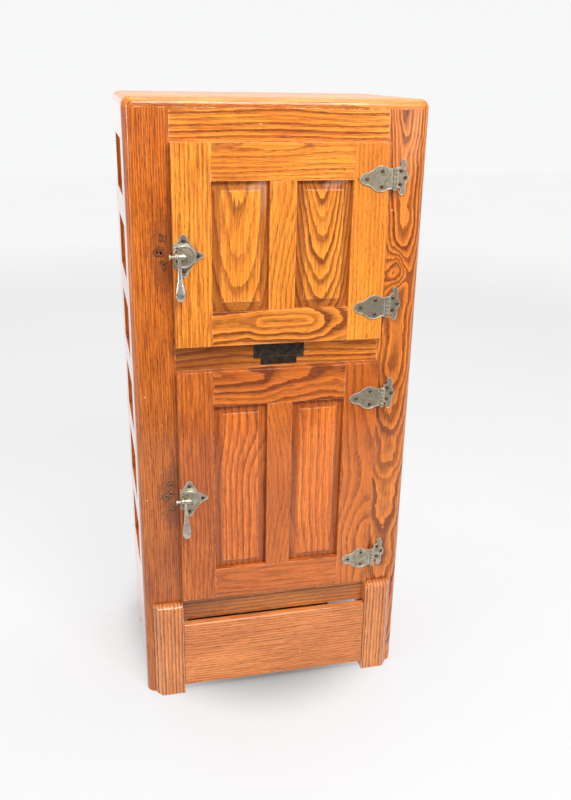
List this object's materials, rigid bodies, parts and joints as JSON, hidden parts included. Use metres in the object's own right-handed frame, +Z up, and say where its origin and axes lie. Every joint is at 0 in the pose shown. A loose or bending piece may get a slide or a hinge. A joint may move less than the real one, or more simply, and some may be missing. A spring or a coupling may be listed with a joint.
{
  "type": "icebox",
  "caption": "Insulated two-door oak icebox with an ice chamber over a shelved food chamber, hinged doors with lever latches, a hinged baseboard and a sliding drip pan.",
  "frame": {"origin": "on the floor, under the middle of the whole object's box", "axes": "+Z up, +Y towards the back, +X to the right as seen from the front; the doors face -Y"},
  "size_m": [0.6, 0.4261, 1.322],
  "materials": {
    "oak": "orange-brown varnished oak",
    "pine": "plain softwood boards",
    "nickel_hardware": "aged nickel plate on cast metal",
    "screw_brass": "tarnished slotted screws",
    "black_plate": "blackened stamped metal",
    "zinc": "dull galvanised sheet",
    "felt": "grey felt strip",
    "insulation": "packed mineral wool fill"
  },
  "bodies": {
    "cabinet": {"back_boards": "pine", "base_board": "pine", "baseboard_pins": "nickel_hardware", "chamber_divider": "pine", "drain_pipe": "zinc", "drain_trap": "zinc", "foot_block_left": "oak", "foot_block_right": "oak", "front_rails": "oak", "front_stile_left": "oak", "front_stile_right": "oak", "hinge_frame_leaves": "nickel_hardware", "hinge_frame_screws": "screw_brass", "hinge_pins": "nickel_hardware", "ice_pan": "zinc", "ice_rack": "pine", "inner_case_boards": "pine", "left_side_panels": "oak", "left_side_rails": "oak", "left_side_stiles": "oak", "lower_jamb": "pine", "lower_shelf": "zinc", "nameplate": "black_plate", "nameplate_pins": "screw_brass", "right_side_panels": "oak", "right_side_rails": "oak", "right_side_stiles": "oak", "shelf_cleats": "pine", "top_board": "oak", "upper_jamb": "pine", "upper_shelf": "zinc", "wall_insulation": "insulation", "zinc_liner": "zinc"},
    "upper_door": {"upper_door_gasket": "felt", "upper_door_hinge_leaves": "nickel_hardware", "upper_door_insulation": "insulation", "upper_door_lining": "zinc", "upper_door_muntin": "oak", "upper_door_panels": "oak", "upper_door_plug": "pine", "upper_door_rails": "oak", "upper_door_screws": "screw_brass", "upper_door_stiles": "oak", "upper_latch_plate": "nickel_hardware"},
    "lower_door": {"lower_door_gasket": "felt", "lower_door_hinge_leaves": "nickel_hardware", "lower_door_insulation": "insulation", "lower_door_lining": "zinc", "lower_door_muntin": "oak", "lower_door_panels": "oak", "lower_door_plug": "pine", "lower_door_rails": "oak", "lower_door_screws": "screw_brass", "lower_door_stiles": "oak", "lower_latch_plate": "nickel_hardware"},
    "upper_lever": {"upper_latch_lever": "nickel_hardware"},
    "lower_lever": {"lower_latch_lever": "nickel_hardware"},
    "baseboard": {"baseboard": "oak"},
    "drip_pan": {"drip_pan": "zinc"}
  },
  "joints": [
    {"name": "upper_door_swing", "type": "hinge", "parent": "cabinet", "child": "upper_door", "pos_m": [0.2245, -0.1915, 1.0445], "axis": [0, 0, 1], "range_deg": [0, 150]},
    {"name": "lower_door_swing", "type": "hinge", "parent": "cabinet", "child": "lower_door", "pos_m": [0.2245, -0.1915, 0.5157], "axis": [0, 0, 1], "range_deg": [0, 150]},
    {"name": "upper_lever_lift", "type": "hinge", "parent": "upper_door", "child": "upper_lever", "pos_m": [-0.2049, -0.202, 1.033], "axis": [-1, 0, 0], "range_deg": [0, 80]},
    {"name": "lower_lever_lift", "type": "hinge", "parent": "lower_door", "child": "lower_lever", "pos_m": [-0.2049, -0.202, 0.51], "axis": [-1, 0, 0], "range_deg": [0, 80]},
    {"name": "baseboard_swing", "type": "hinge", "parent": "cabinet", "child": "baseboard", "pos_m": [0, -0.176, 0.1767], "axis": [-1, 0, 0], "range_deg": [0, 90]},
    {"name": "drip_pan_slide", "type": "slide", "parent": "cabinet", "child": "drip_pan", "axis": [0, -1, 0], "range_m": [0, 0.26]}
  ],
  "couplings": [
    {"joint": "drip_pan_slide", "follows": "baseboard_swing", "m_per_rad": 0.1655}
  ]
}
